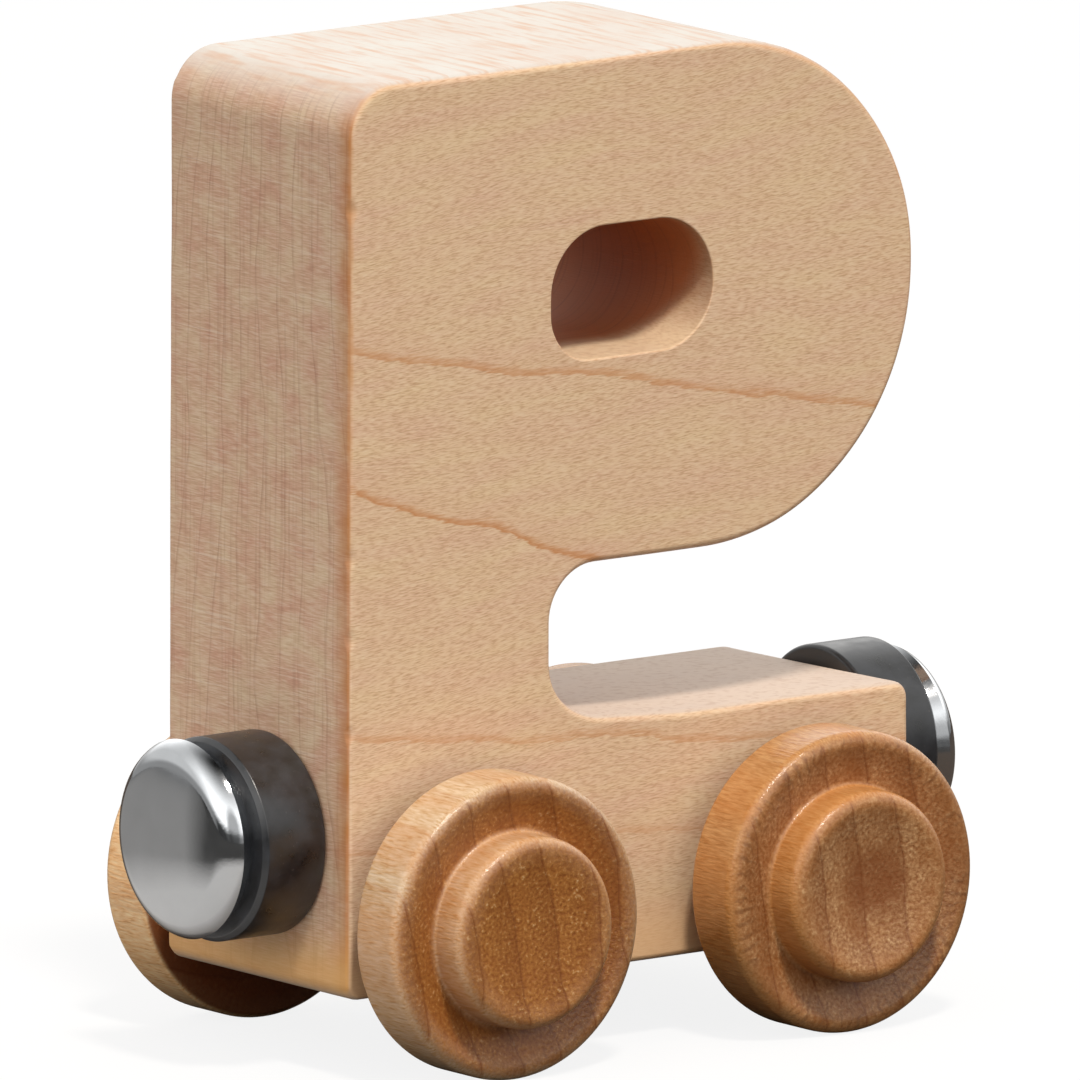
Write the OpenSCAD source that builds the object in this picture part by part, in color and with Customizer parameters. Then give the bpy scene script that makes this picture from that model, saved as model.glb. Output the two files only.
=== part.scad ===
// Letter train car: a hardwood block sawn to a capital P over a low deck. It rolls on two
// wheelsets of turned wheels glued to dowel axles, and couples to the next car through a ring
// magnet that a domed nail holds to each end.
// X runs along the car with the front at -X, Y across it and Z up. The origin is on the track,
// under the middle of the car.

/* [Letter block] */
// Length of the block from end to end
block_l = 44; // [42:0.1:56]
// Thickness of the planed board
stock_t = 19; // [18:0.1:24]
// Height of the block from its underside to the top of the letter
block_h = 57.8; // [56.5:0.1:70]
// Height of the low deck above the underside
deck_h = 15.6; // [14:0.1:17]
// Width of the letter's upright
stem_w = 15.9; // [13:0.1:18]
// Height of the letter's bowl
bowl_h = 32; // [31.6:0.1:33.5]
// Radius of the bowl's upper turn
bowl_top_r = 15.2; // [11:0.1:15.6]
// Radius of the bowl's lower turn
bowl_low_r = 16.4; // [12:0.1:16.8]
// Length of the hole through the bowl
counter_w = 12.3; // [8:0.1:16]
// Height of the hole through the bowl
counter_h = 8.8; // [8:0.1:12]
// Wood left above the hole
counter_roof = 10.5; // [8:0.1:13]
// Corner radius of the hole
counter_r = 3.6; // [2:0.1:4]
// Radius of the corner at the top of the upright
corner_r = 2.5; // [1.2:0.1:4]
// Radius of the corners along the underside
foot_r = 1; // [0.8:0.1:3]
// Radius of the corner at the free end of the deck
deck_corner_r = 1.2; // [1:0.1:3]
// Radius where the upright meets the deck
notch_low_r = 4.1; // [2:0.1:5]
// Radius where the upright meets the bowl's underside
notch_high_r = 3.5; // [2:0.1:4.5]
// Width that sanding takes off the sawn edges
edge_ease = 0.5; // [0.3:0.1:0.6]
// Width that sanding takes off the edges of the hole
counter_ease = 0.4; // [0.2:0.1:0.8]

/* [Wheels and axles] */
// Diameter of the wheel tread
wheel_d = 19.2; // [18:0.1:22]
// Thickness of the wheel disc at the tread
disc_t = 4; // [3.2:0.1:5]
// Rounding from the tread to the wheel's face
shoulder_r = 1; // [0.6:0.1:1.2]
// Angle at which the face falls from the shoulder to the foot of the hub
face_fall = 22; // [12:1:28]
// Rounding of the wheel's inner edge
tread_back_r = 0.4; // [0.2:0.1:0.8]
// Diameter of the hub boss
hub_d = 12.2; // [11.8:0.1:13]
// Height of the hub boss above the disc
hub_proud = 2.3; // [1.8:0.1:3.5]
// Rounding of the hub's front edge
hub_edge_r = 0.8; // [0.3:0.1:0.8]
// Radius of the cove at the foot of the hub
cove_r = 0.9; // [0.5:0.1:1.2]
// Diameter of the shallow dish in the hub's face
dish_d = 10.4; // [8:0.1:10.6]
// Depth of the dish
dish_depth = 0.5; // [0.1:0.05:0.8]
// Diameter of the dowel axles
axle_d = 4.8; // [4:0.1:5]
// Rounding of the axle ends
axle_end_r = 0.4; // [0.2:0.1:0.8]
// Depth of the blind socket that takes an axle end
socket_depth = 4; // [3:0.1:4.6]
// Height of the axles above the block's underside
axle_up = 4.5; // [4:0.1:5]
// Distance of each axle from its end of the block
axle_in = 8.9; // [7:0.1:11]

/* [Couplers] */
// Height of the couplers above the block's underside
coupler_up = 9.6; // [9:0.1:11]
// Outer diameter of the ring magnet
magnet_d = 12.9; // [11:0.1:14]
// Thickness of the ring magnet
magnet_t = 4.8; // [3:0.1:7]
// Bevel of the magnet's front edge
magnet_bevel = 0.5; // [0.4:0.1:1.2]
// Rounding of the magnet's back edge
magnet_back_r = 0.3; // [0.1:0.1:0.4]
// Diameter of the hole in the ring magnet
magnet_bore = 5; // [4.9:0.1:6]
// Distance that the front magnet hangs beside its nail, to the car's left
front_slip = 0.9; // [0:0.1:0.9]
// Distance that the rear magnet sits above its nail
rear_slip = 0.4; // [0:0.1:0.9]
// Diameter of the nail's head
cap_d = 12.6; // [9:0.1:14]
// Thickness of the nail's head at its crown
cap_t = 2.5; // [2.3:0.1:3.2]
// Rounding from the rim of the head into its dome
cap_edge_r = 1.5; // [0.5:0.1:1.6]
// Rounding under the rim of the head
cap_back_r = 0.4; // [0.2:0.1:0.5]
// Radius of curvature of the dome
dome_r = 30; // [22:1:60]
// Diameter of the small flat at the crown, where two cars touch
crown_d = 3; // [1:0.1:4]
// Diameter of the nail's shank
shank_d = 3; // [2.4:0.1:3.1]
// Length of the shank inside the wood
shank_l = 14; // [8:0.5:14]
// Length of the nail's point
point_l = 4; // [2:0.5:5]

/* [Fits] */
// Radial clearance of an axle in the block
axle_clear = 0.08; // [0.03:0.01:0.1]
// Radial glue line of an axle end in its wheel
glue_line = 0.04; // [0.02:0.01:0.08]
// Play between a wheel and the side of the block
side_gap = 1.6; // [0.5:0.1:2.5]
// Radius that the driven shank crowds out of the pilot hole
nail_bite = 0.15; // [0.05:0.05:0.3]

/* [Hidden] */

$fn = 96;
through = 1;
maple = "#e3c49b";
oiled_maple = "#b57c48";
birch = "#e6cfa5";
ferrite = "#3d393a";
nickel = "#c9cacc";

wheel_r = wheel_d / 2;
hub_r = hub_d / 2;
wheel_t = disc_t + hub_proud;
shoulder_x = wheel_r - shoulder_r;
shoulder_z = disc_t - shoulder_r;
cove_x = hub_r + cove_r;
cove_z = shoulder_z
    + (shoulder_r + cove_r - (shoulder_x - cove_x) * sin(face_fall)) / cos(face_fall);
face_up = [-sin(face_fall), cos(face_fall)];
dish_r = (pow(dish_d / 2, 2) + pow(dish_depth, 2)) / (2 * dish_depth);
axle_l = stock_t + 2 * side_gap + 2 * socket_depth;
axle_z = wheel_r;

front_x = -block_l / 2;
rear_x = block_l / 2;
under_z = axle_z - axle_up;
deck_z = under_z + deck_h;
top_z = under_z + block_h;
stem_x = front_x + stem_w;
bowl_low_z = top_z - bowl_h;
counter_x = stem_x + counter_w;
counter_top_z = top_z - counter_roof;
counter_low_z = counter_top_z - counter_h;
front_axle_x = front_x + axle_in;
rear_axle_x = rear_x - axle_in;
coupler_z = under_z + coupler_up;

// Both outlines lie in the XZ plane and turn anticlockwise. Each entry is a square corner and
// its radius. The first and last entries are the same plain point on the top edge, where the
// outline starts and closes.
letter_path = [
    [stem_x, top_z, 0],
    [front_x, top_z, corner_r],
    [front_x, under_z, foot_r],
    [rear_x, under_z, foot_r],
    [rear_x, deck_z, deck_corner_r],
    [stem_x, deck_z, notch_low_r],
    [stem_x, bowl_low_z, notch_high_r],
    [rear_x, bowl_low_z, bowl_low_r],
    [rear_x, top_z, bowl_top_r],
    [stem_x, top_z, 0]];
counter_mid_x = (stem_x + counter_x) / 2;
counter_path = [
    [counter_mid_x, counter_top_z, 0],
    [stem_x, counter_top_z, counter_r],
    [stem_x, counter_low_z, counter_r],
    [counter_x, counter_low_z, counter_r],
    [counter_x, counter_top_z, counter_r],
    [counter_mid_x, counter_top_z, 0]];

function spot(path, i) = [path[i][0], path[i][1]];
function heading(path, i) =
    let (step = spot(path, i + 1) - spot(path, i)) step / norm(step);
function bend(path, i) = cross(heading(path, i - 1), heading(path, i)) > 0 ? 1 : -1;
function arc_in(path, i) = spot(path, i) - path[i][2] * heading(path, i - 1);
function arc_out(path, i) = spot(path, i) + path[i][2] * heading(path, i);
function arc_centre(path, i) = arc_in(path, i) + path[i][2] * heading(path, i);
function run_start(path, i) = i == 0 ? spot(path, 0) : arc_out(path, i);
function run_end(path, i) = i == len(path) - 1 ? spot(path, i) : arc_in(path, i);
function bearing(v) = atan2(v[1], v[0]);

// Quarter disc that rounds one corner of a path
module corner_disc(path, i) {
    centre = arc_centre(path, i);
    r = path[i][2];
    intersection() {
        translate(centre) circle(r);
        translate([min(centre[0], path[i][0]), min(centre[1], path[i][1])]) square(r);
    }
}

// Area inside a path: its chords, with quarter discs added at outer corners and taken away at
// inner ones
module path_area(path) {
    corners = [1 : len(path) - 2];
    difference() {
        union() {
            polygon(concat([spot(path, 0)],
                [for (i = corners) each [arc_in(path, i), arc_out(path, i)]]));
            for (i = corners) if (bend(path, i) > 0) corner_disc(path, i);
        }
        for (i = corners) if (bend(path, i) < 0) corner_disc(path, i);
    }
}

// Section of a bevel cutter at distance r from its axis: what it cuts lies nearer the axis where
// side is 1 and further out where it is -1
module bevel_section(r, side, ease) {
    past = ease / 2;
    polygon([
        [r - side * (ease + past), past],
        [r + side * past, past],
        [r + side * past, -ease - past]]);
}

// Bevel cutter along a whole path, for the face at height 0; side is 1 where the path goes
// round wood and -1 where it goes round a hole
module path_bevel(path, side, ease) {
    for (i = [0 : len(path) - 2]) {
        run = run_end(path, i + 1) - run_start(path, i);
        translate(run_start(path, i)) rotate(bearing(run)) rotate([90, 0, 90])
            linear_extrude(norm(run)) bevel_section(0, -side, ease);
    }
    for (i = [1 : len(path) - 2])
        translate(arc_centre(path, i))
            rotate(bearing(bend(path, i) > 0 ? -heading(path, i) : heading(path, i - 1)))
                rotate_extrude(angle = 90) bevel_section(path[i][2], side * bend(path, i), ease);
}

// Half section of a turned disc: radius r, thickness t, back and front edges rounded
module disc_section(r, t, back_r, front_r) {
    square([r - max(back_r, front_r), t]);
    translate([0, back_r]) square([r, t - back_r - front_r]);
    for (edge = [[back_r, back_r], [front_r, t - front_r]])
        translate([r - edge[0], edge[1]]) circle(edge[0]);
}

module letter_body() {
    color(maple) difference() {
        rotate([90, 0, 0]) difference() {
            linear_extrude(stock_t, center = true) difference() {
                path_area(letter_path);
                path_area(counter_path);
            }
            for (face = [0, 1]) mirror([0, 0, face]) translate([0, 0, stock_t / 2]) {
                path_bevel(letter_path, 1, edge_ease);
                path_bevel(counter_path, -1, counter_ease);
            }
            for (x = [front_axle_x, rear_axle_x]) translate([x, axle_z, 0])
                cylinder(h = stock_t + 2 * through, r = axle_d / 2 + axle_clear, center = true);
        }
        for (end = [0, 1]) mirror([end, 0, 0]) translate([front_x - through, 0, coupler_z])
            rotate([0, 90, 0]) cylinder(h = through + shank_l, r = shank_d / 2 - nail_bite);
    }
}

module axle() {
    color(birch) rotate([90, 0, 0]) translate([0, 0, -axle_l / 2])
        rotate_extrude() disc_section(axle_d / 2, axle_l, axle_end_r, axle_end_r);
}

// Wheel with its inner face at height 0 and its hub upwards
module turned_wheel() {
    color(oiled_maple) difference() {
        rotate_extrude() difference() {
            union() {
                square([wheel_r - tread_back_r, shoulder_z]);
                translate([0, tread_back_r]) square([wheel_r, shoulder_z - tread_back_r]);
                translate([wheel_r - tread_back_r, tread_back_r]) circle(tread_back_r);
                translate([shoulder_x, shoulder_z]) circle(shoulder_r);
                polygon([[0, 0], [shoulder_x, 0], [shoulder_x, shoulder_z],
                    [shoulder_x, shoulder_z] + shoulder_r * face_up,
                    [cove_x, cove_z] - cove_r * face_up,
                    [cove_x, cove_z], [0, cove_z]]);
                square([hub_r - hub_edge_r, wheel_t]);
                square([hub_r, wheel_t - hub_edge_r]);
                translate([hub_r - hub_edge_r, wheel_t - hub_edge_r]) circle(hub_edge_r);
            }
            translate([cove_x, cove_z]) circle(cove_r);
        }
        translate([0, 0, wheel_t + dish_r - dish_depth]) sphere(dish_r, $fn = 3 * $fn);
        translate([0, 0, -through])
            cylinder(h = through + socket_depth, r = axle_d / 2 + glue_line);
    }
}

// Places a wheel on one side of the block: side is -1 for the car's left and 1 for its right
module wheel_at(x, side) {
    translate([x, side * (stock_t / 2 + side_gap), axle_z]) rotate([-90 * side, 0, 0])
        turned_wheel();
}

module ring_magnet() {
    color(ferrite) difference() {
        rotate_extrude() difference() {
            disc_section(magnet_d / 2, magnet_t, magnet_back_r, magnet_back_r);
            translate([0, magnet_t]) bevel_section(magnet_d / 2, 1, magnet_bevel);
        }
        translate([0, 0, -through]) cylinder(h = magnet_t + 2 * through, d = magnet_bore);
    }
}

// Half section of the nail's head: the rim rolls smoothly into the dome, which ends in a flat
module cap_section() {
    cap_r = cap_d / 2;
    dome_z = cap_t - sqrt(pow(dome_r, 2) - pow(crown_d / 2, 2));
    roll_x = cap_r - cap_edge_r;
    roll_z = dome_z + sqrt(pow(dome_r - cap_edge_r, 2) - pow(roll_x, 2));
    reach = (dome_r + through) / (dome_r - cap_edge_r);
    square([cap_r - cap_back_r, roll_z]);
    translate([0, cap_back_r]) square([cap_r, roll_z - cap_back_r]);
    translate([cap_r - cap_back_r, cap_back_r]) circle(cap_back_r);
    intersection() {
        translate([roll_x, roll_z]) circle(cap_edge_r);
        translate([0, roll_z]) square([cap_r, cap_t]);
    }
    intersection() {
        translate([0, dome_z]) circle(dome_r, $fn = 4 * $fn);
        polygon([[0, 0], [roll_x, 0], [roll_x, roll_z],
            [roll_x * reach, dome_z + (roll_z - dome_z) * reach],
            [roll_x * reach, cap_t + through], [0, cap_t + through]]);
        square([cap_r, cap_t]);
    }
}

// Nail with the block's end at height 0 and its head outwards
module cap_nail() {
    color(nickel) {
        translate([0, 0, magnet_t]) rotate_extrude() cap_section();
        translate([0, 0, point_l - shank_l])
            cylinder(h = shank_l - point_l + magnet_t + cap_back_r, d = shank_d);
        translate([0, 0, -shank_l]) cylinder(h = point_l, d1 = 0, d2 = shank_d);
    }
}

// Turns a piece made along Z to point out of one end: end is -1 for the front and 1 for the
// rear. The piece may sit a little aside of the coupler's axis or above it.
module at_end(end, aside = 0, above = 0) {
    translate([end * block_l / 2, aside, coupler_z + above]) rotate([0, 90 * end, 0]) children();
}

letter_body();
translate([front_axle_x, 0, axle_z]) axle();  // front_axle
wheel_at(front_axle_x, -1);  // front_left_wheel
wheel_at(front_axle_x, 1);  // front_right_wheel
translate([rear_axle_x, 0, axle_z]) axle();  // rear_axle
wheel_at(rear_axle_x, -1);  // rear_left_wheel
wheel_at(rear_axle_x, 1);  // rear_right_wheel
at_end(-1, aside = -front_slip) ring_magnet();  // front_magnet
at_end(1, above = rear_slip) ring_magnet();  // rear_magnet
at_end(-1) cap_nail();  // front_nail
at_end(1) cap_nail();  // rear_nail
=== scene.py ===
# %% [markdown]
# # A wooden letter car
# The toy is a maple block sawn to a capital P over a low deck. It rolls on turned wheels, and a
# ring magnet under a domed nail head at each end couples it to the next car. The solids come
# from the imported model, which fixes the places and the main sizes. This lesson gives them the
# rounded edges, the grain and the finishes of the real thing. A few forms follow the picture
# more closely than the solids do and differ from them by less than a millimetre.

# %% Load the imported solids
import math

import bmesh
import bpy
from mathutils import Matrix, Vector, noise


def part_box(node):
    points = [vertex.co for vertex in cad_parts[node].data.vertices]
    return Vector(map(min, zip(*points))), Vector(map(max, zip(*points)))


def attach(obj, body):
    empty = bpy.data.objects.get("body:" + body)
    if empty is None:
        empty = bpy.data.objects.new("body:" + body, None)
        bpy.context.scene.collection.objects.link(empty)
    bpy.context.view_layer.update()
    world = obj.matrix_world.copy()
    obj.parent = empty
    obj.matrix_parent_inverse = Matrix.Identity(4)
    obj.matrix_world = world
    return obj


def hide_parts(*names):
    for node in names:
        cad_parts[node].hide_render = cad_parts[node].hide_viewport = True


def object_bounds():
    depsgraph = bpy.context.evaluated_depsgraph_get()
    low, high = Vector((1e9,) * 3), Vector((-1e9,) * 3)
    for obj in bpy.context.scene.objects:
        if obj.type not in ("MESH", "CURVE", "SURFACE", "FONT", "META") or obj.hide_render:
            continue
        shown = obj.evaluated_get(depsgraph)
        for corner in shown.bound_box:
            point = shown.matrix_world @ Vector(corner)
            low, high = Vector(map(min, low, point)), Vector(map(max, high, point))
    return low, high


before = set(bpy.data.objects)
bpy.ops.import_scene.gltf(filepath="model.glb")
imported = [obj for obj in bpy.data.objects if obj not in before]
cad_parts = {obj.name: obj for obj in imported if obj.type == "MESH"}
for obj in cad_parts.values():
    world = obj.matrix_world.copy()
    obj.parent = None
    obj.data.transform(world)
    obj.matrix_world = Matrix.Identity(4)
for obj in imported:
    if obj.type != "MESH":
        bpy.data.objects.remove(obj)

MM = 0.001
cad_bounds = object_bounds()
cad_size = [side / MM for side in cad_bounds[1] - cad_bounds[0]]
print("CAD box in mm:", [round(side, 1) for side in cad_size])

# %% [markdown]
# The picture was taken with a long lens from the front left, a little above the car, so upright
# edges stay upright and hardly converge. A camera three metres away gives the same flat
# perspective. Its lens follows from how many millimetres of the scene the picture spans.

# %% Camera
VIEW_AZIMUTH = math.radians(-36.9)
VIEW_ELEVATION = math.radians(10.25)
CAMERA_DISTANCE = 3.0
PICTURE_SPAN = 67.7 * MM
AIM = Vector((0.06, -0.04, 30.66)) * MM

towards_camera = Vector((
    math.sin(VIEW_AZIMUTH) * math.cos(VIEW_ELEVATION),
    -math.cos(VIEW_AZIMUTH) * math.cos(VIEW_ELEVATION),
    math.sin(VIEW_ELEVATION)))
camera_data = bpy.data.cameras.new("camera")
camera_data.lens = camera_data.sensor_width * CAMERA_DISTANCE / PICTURE_SPAN
camera_data.clip_end = 50.0
camera = bpy.data.objects.new("camera", camera_data)
camera.location = AIM + CAMERA_DISTANCE * towards_camera
camera.rotation_euler = towards_camera.to_track_quat("Z", "Y").to_euler()
bpy.context.scene.collection.objects.link(camera)
bpy.context.scene.camera = camera
print(f"lens {camera_data.lens:.0f} mm at {CAMERA_DISTANCE} m")

# %% [markdown]
# A finish is a graph of shader nodes. One function adds a node, sets it and wires it, so the
# finishes below read as a list of steps. Colours are written as they look on a screen and
# turned to the linear values that shaders work in. Patterns use each piece's own coordinates
# in millimetres, so a number in a pattern is a real size on the wood.

# %% Helpers for finishes
def linear(hex_colour):
    """The linear colour of an sRGB hex value such as "#c8a27a"."""
    shares = [int(hex_colour[i:i + 2], 16) / 255 for i in (1, 3, 5)]
    return [s / 12.92 if s <= 0.04045 else ((s + 0.055) / 1.055) ** 2.4 for s in shares] + [1]


def add(tree, kind, wires=None, out=0, **settings):
    """Adds a shader node; wires gives its sockets values or links. Returns one output socket,
    or the node where out is None."""
    node = tree.nodes.new("ShaderNode" + kind)
    for name, value in settings.items():
        setattr(node, name, value)
    for socket, value in (wires or {}).items():
        if isinstance(value, bpy.types.NodeSocket):
            tree.links.new(value, node.inputs[socket])
        else:
            node.inputs[socket].default_value = value
    return node if out is None else node.outputs[out]


def new_finish(name):
    """An empty material, its node tree, and the place (mm) and facing of a point on the piece."""
    material = bpy.data.materials.new(name)
    material.use_nodes = True
    tree = material.node_tree
    tree.nodes.clear()
    where = add(tree, "TexCoord", out=None)
    place = add(tree, "VectorMath", {0: where.outputs["Object"], "Scale": 1 / MM},
                operation="SCALE")
    return material, tree, place, where.outputs["Normal"]


print("helpers ready; mid grey is", [round(c, 3) for c in linear("#808080")])

# %% [markdown]
# The block is hard maple, planed, sawn and sanded, with no oil or lacquer. Its finish and its
# outline share a few places: the ends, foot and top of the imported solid, the upright of the
# letter and the hole in its bowl. They are worked out once, here.

# %% Places on the block
STEM_W = 15.9 * MM
HOLE_W = 12.6 * MM
HOLE_H = 8.35 * MM
HOLE_ROOF = 10.7 * MM

block_low, block_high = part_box("letter_body")
front, rear = block_low.x, block_high.x
under, top = block_low.z, block_high.z
half_t = block_high.y
stem = front + STEM_W
hole_rear = stem + HOLE_W
hole_top = top - HOLE_ROOF
hole_low = hole_top - HOLE_H
print("block of", round((rear - front) / MM, 1), "by", round((top - under) / MM, 1), "mm")

# %% [markdown]
# The grain runs along the car, so each side shows another cut of the same wood. The letter face
# is flat-sawn: short dark flecks that climb a little to the rear and follow the slow bends of
# the grain, over faint pink and yellow streaks. The flecks are drawn 0.07 mm thick, nearly twice
# the real size, so that the picture shows them.

# %% Flat-sawn face
FIBRE_SIZE = (0.55, 0.55, 0.07)
FIBRE_CLIMB = 0.065
STREAK_SIZE = (9.0, 5.0, 1.6)
BEND_SIZE = (26.0, 40.0, 18.0)
BEND_REACH = 3.0


def flat_sawn(tree, place, at):
    """The colour of the letter face, with its fibres, dark flecks and streaks."""
    bend_cells = add(tree, "VectorMath", {0: place, 1: BEND_SIZE}, operation="DIVIDE")
    bend = add(tree, "TexNoise", {"Vector": bend_cells, "Scale": 1.0, "Detail": 0.0})
    climb = add(tree, "Math", {0: at["X"], 1: -FIBRE_CLIMB, 2: at["Z"]}, operation="MULTIPLY_ADD")
    bent = add(tree, "Math", {0: bend, 1: BEND_REACH, 2: climb}, operation="MULTIPLY_ADD")
    flow = add(tree, "CombineXYZ", {0: at["X"], 1: at["Y"], 2: bent})
    fibres = add(tree, "VectorMath", {0: flow, 1: FIBRE_SIZE}, operation="DIVIDE")
    fibre = add(tree, "TexNoise", {"Vector": fibres, "Scale": 1.0, "Detail": 1.0})
    dark = add(tree, "MapRange", {0: fibre, 1: 0.5, 2: 0.75, 3: 0.0, 4: 0.58})
    pale = add(tree, "MapRange", {0: fibre, 1: 0.5, 2: 0.25, 3: 0.0, 4: 0.58})
    tints = add(tree, "VectorMath", {0: flow, 1: STREAK_SIZE}, operation="DIVIDE")
    tint = add(tree, "TexNoise", {"Vector": tints, "Scale": 1.0, "Detail": 5.0})
    tint = add(tree, "MapRange", {0: tint, 1: 0.3, 2: 0.7, 3: 0.0, 4: 1.0})
    face = add(tree, "Mix", {0: tint, 6: linear("#e7c0a0"), 7: linear("#ebcca3")}, out=2,
               data_type="RGBA")
    for amount, colour in ((pale, "#f6dec0"), (dark, "#bb875f")):
        face = add(tree, "Mix", {0: amount, 6: face, 7: linear(colour)}, out=2,
                   data_type="RGBA")
    return face, fibre, dark, tint


print("flecks", FIBRE_SIZE[0], "mm long and", FIBRE_SIZE[2], "mm thick")

# %% [markdown]
# A few growth lines cross the letter face. They fall towards the rear, wander, and lean through
# the board, so the far face shows them at another height. Each has a ragged, sharp lower edge,
# where one year's growth ends, and fades upwards into a pink wash.

# %% Growth lines
GROWTH_LINES = (
    # height at mid-length (mm), fall per mm of length, depth of colour
    (42.1, 0.190, 0.60),
    (30.2, 0.330, 0.80),
    (19.2, 0.115, 0.45),
    (13.2, 0.060, 0.32),
)
GROWTH_LEAN = 0.45
WANDER_SIZE = (9.0, 20.0, 16.0)
WANDER_REACH = 0.9
RAGGED_SIZE = (1.6, 2.0, 0.16)
RAGGED_REACH = 0.45
WASH_HEIGHT = 2.4


def growth_lines(tree, place, at, face):
    """The letter face with its growth lines drawn in."""
    wander_cells = add(tree, "VectorMath", {0: place, 1: WANDER_SIZE}, operation="DIVIDE")
    wander = add(tree, "TexNoise", {"Vector": wander_cells, "Scale": 1.0, "Detail": 1.0})
    wander = add(tree, "MapRange", {0: wander, 1: 0.0, 2: 1.0, 3: -WANDER_REACH, 4: WANDER_REACH})
    steps = add(tree, "VectorMath", {0: place, 1: RAGGED_SIZE}, operation="DIVIDE")
    step = add(tree, "TexNoise", {"Vector": steps, "Scale": 1.0, "Detail": 2.0})
    step = add(tree, "MapRange", {0: step, 1: 0.0, 2: 1.0, 3: -RAGGED_REACH, 4: RAGGED_REACH})
    wander = add(tree, "Math", {0: wander, 1: step}, operation="ADD")
    level = add(tree, "Math", {0: at["Z"], 1: wander}, operation="ADD")
    level = add(tree, "Math", {0: at["Y"], 1: GROWTH_LEAN, 2: level}, operation="MULTIPLY_ADD")
    for height, fall, depth in GROWTH_LINES:
        above = add(tree, "Math", {0: at["X"], 1: fall, 2: level}, operation="MULTIPLY_ADD")
        above = add(tree, "Math", {0: above, 1: height - GROWTH_LEAN * half_t / MM},
                    operation="SUBTRACT")
        start = add(tree, "MapRange", {0: above, 1: -0.05, 2: 0.08, 3: 0.0, 4: depth})
        wash = add(tree, "MapRange", {0: above, 1: 0.0, 2: WASH_HEIGHT, 3: 0.25, 4: 0.0})
        wash = add(tree, "Math", {0: start, 1: wash}, operation="MULTIPLY")
        face = add(tree, "Mix", {0: wash, 6: face, 7: linear("#e0a98a")}, out=2,
                   data_type="RGBA")
        line = add(tree, "MapRange", {0: above, 1: 0.1, 2: 0.6, 3: 1.0, 4: 0.0})
        line = add(tree, "Math", {0: start, 1: line}, operation="MULTIPLY")
        face = add(tree, "Mix", {0: line, 6: face, 7: linear("#cf8b50")}, out=2,
                   data_type="RGBA")
    return face


print(len(GROWTH_LINES), "growth lines")

# %% [markdown]
# The ends of the block are end grain. Thin growth rings stand upright, 1.9 mm apart, spread
# towards the foot, and have finer broken lines between them.

# %% End grain: rings
END_RINGS = 1.9
RING_BOW_SIZE = (60.0, 7.0, 18.0)
RING_BOW = 4.0
FINE_LINE_SIZE = (60.0, 0.28, 9.0)
BREAK_SIZE = (60.0, 1.5, 2.0)


def end_rings(tree, place, at):
    """How far a point of the end lies on a ring, and the noise that breaks the rings up."""
    spread = add(tree, "MapRange", {0: at["Z"], 1: under / MM, 2: top / MM, 3: 0.62, 4: 1.12})
    ring = add(tree, "Math", {0: at["Y"], 1: spread}, operation="MULTIPLY")
    bow_cells = add(tree, "VectorMath", {0: place, 1: RING_BOW_SIZE}, operation="DIVIDE")
    bow = add(tree, "TexNoise", {"Vector": bow_cells, "Scale": 1.0, "Detail": 2.0})
    ring = add(tree, "Math", {0: bow, 1: RING_BOW, 2: ring}, operation="MULTIPLY_ADD")
    ring = add(tree, "Math", {0: ring, 1: END_RINGS}, operation="DIVIDE")
    ring = add(tree, "Math", {0: ring}, operation="FRACT")
    ring = add(tree, "MapRange", {0: ring, 1: 0.88, 2: 1.0, 3: 0.0, 4: 0.8})
    lines = add(tree, "VectorMath", {0: place, 1: FINE_LINE_SIZE}, operation="DIVIDE")
    fine = add(tree, "TexNoise", {"Vector": lines, "Scale": 1.0, "Detail": 2.0})
    fine = add(tree, "MapRange", {0: fine, 1: 0.52, 2: 0.8, 3: 0.0, 4: 0.8})
    breaks = add(tree, "VectorMath", {0: place, 1: BREAK_SIZE}, operation="DIVIDE")
    broken = add(tree, "TexNoise", {"Vector": breaks, "Scale": 1.0, "Detail": 4.0})
    broken = add(tree, "MapRange", {0: broken, 1: 0.3, 2: 0.7, 3: 0.2, 4: 0.7})
    ring = add(tree, "Math", {0: ring, 1: fine}, operation="MAXIMUM")
    ring = add(tree, "Math", {0: ring, 1: broken}, operation="MULTIPLY")
    return ring, broken


print("end rings", END_RINGS, "mm apart")

# %% [markdown]
# Fine pale and dark rays cross the rings, and the planer's knife has left a few long scores. The
# rays are drawn 0.08 mm thick, coarser than real ones, so that the picture shows them.

# %% End grain: rays and colour
RAY_SIZE = (3.0, 1.0, 0.08)
SCORE_SIZE = (20.0, 9.0, 0.14)
BLOT_SIZE = (20.0, 2.5, 2.0)


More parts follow.
